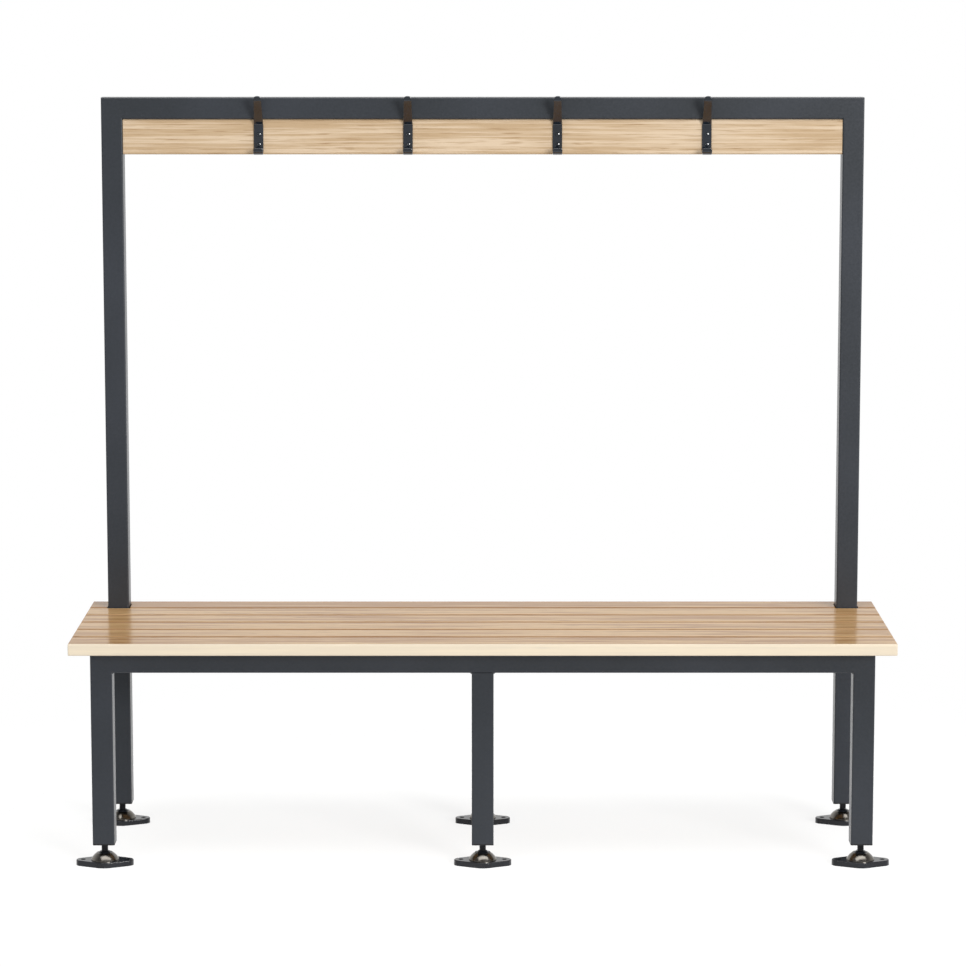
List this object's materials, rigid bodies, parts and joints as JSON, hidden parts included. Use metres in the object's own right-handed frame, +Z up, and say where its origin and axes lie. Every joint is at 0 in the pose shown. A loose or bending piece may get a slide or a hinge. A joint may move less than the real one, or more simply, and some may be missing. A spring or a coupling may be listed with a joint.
{
  "type": "coat rack bench",
  "caption": "Free-standing coat rack bench: slatted wood seat on a square-tube steel frame whose rear posts carry a hook board with double hooks, on bolt-down swivel levelling feet",
  "frame": {"origin": "on the floor under the middle of the seat", "axes": "+X along the seat, +Y to the back, +Z up"},
  "size_m": [1.5, 0.421, 1.3993],
  "materials": {
    "powder_coated_steel": "fine-textured matt powder coat",
    "lacquered_ash": "satin clear lacquer",
    "black_enamelled_steel": "high-gloss black enamel",
    "zinc_plated_steel": "bright zinc plate",
    "black_polyethylene": "moulded",
    "blackened_steel": "blackened, threaded",
    "black_nylon": "moulded, glass-filled",
    "polished_steel": "spun and polished"
  },
  "bodies": {
    "frame": {"left_post": "powder_coated_steel", "right_post": "powder_coated_steel", "top_rail": "powder_coated_steel", "front_left_leg": "powder_coated_steel", "front_centre_leg": "powder_coated_steel", "front_right_leg": "powder_coated_steel", "front_seat_rail": "powder_coated_steel", "rear_seat_rail": "powder_coated_steel", "rear_centre_leg": "powder_coated_steel", "left_side_rail": "powder_coated_steel", "right_side_rail": "powder_coated_steel", "centre_cross_rail": "powder_coated_steel", "left_hook_rail_lug": "powder_coated_steel", "right_hook_rail_lug": "powder_coated_steel", "seat_slat_1": "lacquered_ash", "seat_slat_2": "lacquered_ash", "seat_slat_3": "lacquered_ash", "seat_slat_4": "lacquered_ash", "seat_slat_5": "lacquered_ash", "seat_slat_6": "lacquered_ash", "hook_rail": "lacquered_ash", "coat_hook_1": "black_enamelled_steel", "coat_hook_2": "black_enamelled_steel", "coat_hook_3": "black_enamelled_steel", "coat_hook_4": "black_enamelled_steel", "seat_screws": "zinc_plated_steel", "hook_screws": "black_enamelled_steel", "lug_screws": "zinc_plated_steel", "front_left_leg_plug": "black_polyethylene", "front_centre_leg_plug": "black_polyethylene", "front_right_leg_plug": "black_polyethylene", "rear_left_leg_plug": "black_polyethylene", "rear_centre_leg_plug": "black_polyethylene", "rear_right_leg_plug": "black_polyethylene"},
    "front_left_ball": {"front_left_foot_ball": "black_nylon"},
    "front_left_stem": {"front_left_foot_stem": "blackened_steel"},
    "front_left_base": {"front_left_foot_dome": "polished_steel", "front_left_foot_plate": "black_nylon"},
    "front_centre_ball": {"front_centre_foot_ball": "black_nylon"},
    "front_centre_stem": {"front_centre_foot_stem": "blackened_steel"},
    "front_centre_base": {"front_centre_foot_dome": "polished_steel", "front_centre_foot_plate": "black_nylon"},
    "front_right_ball": {"front_right_foot_ball": "black_nylon"},
    "front_right_stem": {"front_right_foot_stem": "blackened_steel"},
    "front_right_base": {"front_right_foot_dome": "polished_steel", "front_right_foot_plate": "black_nylon"},
    "rear_left_ball": {"rear_left_foot_ball": "black_nylon"},
    "rear_left_stem": {"rear_left_foot_stem": "blackened_steel"},
    "rear_left_base": {"rear_left_foot_dome": "polished_steel", "rear_left_foot_plate": "black_nylon"},
    "rear_centre_ball": {"rear_centre_foot_ball": "black_nylon"},
    "rear_centre_stem": {"rear_centre_foot_stem": "blackened_steel"},
    "rear_centre_base": {"rear_centre_foot_dome": "polished_steel", "rear_centre_foot_plate": "black_nylon"},
    "rear_right_ball": {"rear_right_foot_ball": "black_nylon"},
    "rear_right_stem": {"rear_right_foot_stem": "blackened_steel"},
    "rear_right_base": {"rear_right_foot_dome": "polished_steel", "rear_right_foot_plate": "black_nylon"}
  },
  "joints": [
    {"name": "front_left_height", "type": "slide", "parent": "frame", "child": "front_left_ball", "axis": [0, 0, 1], "range_m": [-0.025, 0.012]},
    {"name": "front_left_turn", "type": "hinge", "parent": "front_left_ball", "child": "front_left_stem", "pos_m": [-0.695, -0.1485, 0.0115], "axis": [0, 0, 1], "range_deg": [-5140, 2465]},
    {"name": "front_left_swivel", "type": "hinge", "parent": "front_left_ball", "child": "front_left_base", "pos_m": [-0.695, -0.1485, 0.0115], "axis": [1, 0, 0], "range_deg": [-8, 8]},
    {"name": "front_centre_height", "type": "slide", "parent": "frame", "child": "front_centre_ball", "axis": [0, 0, 1], "range_m": [-0.025, 0.012]},
    {"name": "front_centre_turn", "type": "hinge", "parent": "front_centre_ball", "child": "front_centre_stem", "pos_m": [0, -0.1485, 0.0115], "axis": [0, 0, 1], "range_deg": [-5140, 2465]},
    {"name": "front_centre_swivel", "type": "hinge", "parent": "front_centre_ball", "child": "front_centre_base", "pos_m": [0, -0.1485, 0.0115], "axis": [1, 0, 0], "range_deg": [-8, 8]},
    {"name": "front_right_height", "type": "slide", "parent": "frame", "child": "front_right_ball", "axis": [0, 0, 1], "range_m": [-0.025, 0.012]},
    {"name": "front_right_turn", "type": "hinge", "parent": "front_right_ball", "child": "front_right_stem", "pos_m": [0.695, -0.1485, 0.0115], "axis": [0, 0, 1], "range_deg": [-5140, 2465]},
    {"name": "front_right_swivel", "type": "hinge", "parent": "front_right_ball", "child": "front_right_base", "pos_m": [0.695, -0.1485, 0.0115], "axis": [1, 0, 0], "range_deg": [-8, 8]},
    {"name": "rear_left_height", "type": "slide", "parent": "frame", "child": "rear_left_ball", "axis": [0, 0, 1], "range_m": [-0.025, 0.012]},
    {"name": "rear_left_turn", "type": "hinge", "parent": "rear_left_ball", "child": "rear_left_stem", "pos_m": [-0.695, 0.1635, 0.0115], "axis": [0, 0, 1], "range_deg": [-5140, 2465]},
    {"name": "rear_left_swivel", "type": "hinge", "parent": "rear_left_ball", "child": "rear_left_base", "pos_m": [-0.695, 0.1635, 0.0115], "axis": [1, 0, 0], "range_deg": [-8, 8]},
    {"name": "rear_centre_height", "type": "slide", "parent": "frame", "child": "rear_centre_ball", "axis": [0, 0, 1], "range_m": [-0.025, 0.012]},
    {"name": "rear_centre_turn", "type": "hinge", "parent": "rear_centre_ball", "child": "rear_centre_stem", "pos_m": [0, 0.1635, 0.0115], "axis": [0, 0, 1], "range_deg": [-5140, 2465]},
    {"name": "rear_centre_swivel", "type": "hinge", "parent": "rear_centre_ball", "child": "rear_centre_base", "pos_m": [0, 0.1635, 0.0115], "axis": [1, 0, 0], "range_deg": [-8, 8]},
    {"name": "rear_right_height", "type": "slide", "parent": "frame", "child": "rear_right_ball", "axis": [0, 0, 1], "range_m": [-0.025, 0.012]},
    {"name": "rear_right_turn", "type": "hinge", "parent": "rear_right_ball", "child": "rear_right_stem", "pos_m": [0.695, 0.1635, 0.0115], "axis": [0, 0, 1], "range_deg": [-5140, 2465]},
    {"name": "rear_right_swivel", "type": "hinge", "parent": "rear_right_ball", "child": "rear_right_base", "pos_m": [0.695, 0.1635, 0.0115], "axis": [1, 0, 0], "range_deg": [-8, 8]}
  ],
  "couplings": [
    {"joint": "front_left_height", "follows": "front_left_turn", "m_per_rad": 0.00027852},
    {"joint": "front_centre_height", "follows": "front_centre_turn", "m_per_rad": 0.00027852},
    {"joint": "front_right_height", "follows": "front_right_turn", "m_per_rad": 0.00027852},
    {"joint": "rear_left_height", "follows": "rear_left_turn", "m_per_rad": 0.00027852},
    {"joint": "rear_centre_height", "follows": "rear_centre_turn", "m_per_rad": 0.00027852},
    {"joint": "rear_right_height", "follows": "rear_right_turn", "m_per_rad": 0.00027852}
  ]
}
